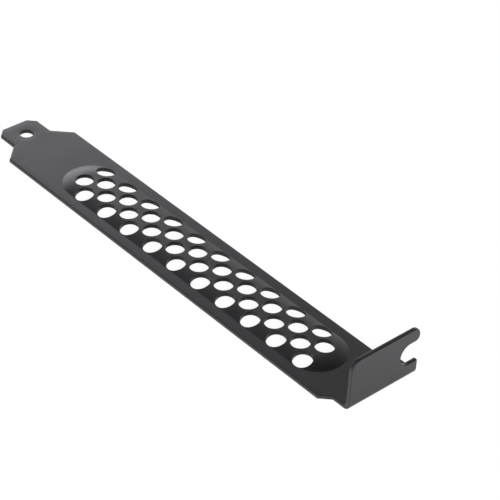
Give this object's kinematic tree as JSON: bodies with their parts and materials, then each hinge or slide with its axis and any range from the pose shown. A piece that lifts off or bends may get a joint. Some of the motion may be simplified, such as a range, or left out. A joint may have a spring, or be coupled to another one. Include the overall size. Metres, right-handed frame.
{
  "type": "expansion slot cover",
  "caption": "Vented expansion slot cover for a server or computer case, folded from one sheet, with a screw flange and a tail tab.",
  "frame": {"origin": "bottom centre of the bounding box, with the cover lying on its blade's back face", "axes": "+X along the blade towards the flange, +Y across the blade towards the open side of the screw notch, +Z from the blade's back face up the flange"},
  "size_m": [0.121, 0.0208, 0.0122],
  "materials": {
    "black_paint": "satin black powder coat"
  },
  "bodies": {
    "root": {"slot_cover": "black_paint"}
  },
  "joints": []
}
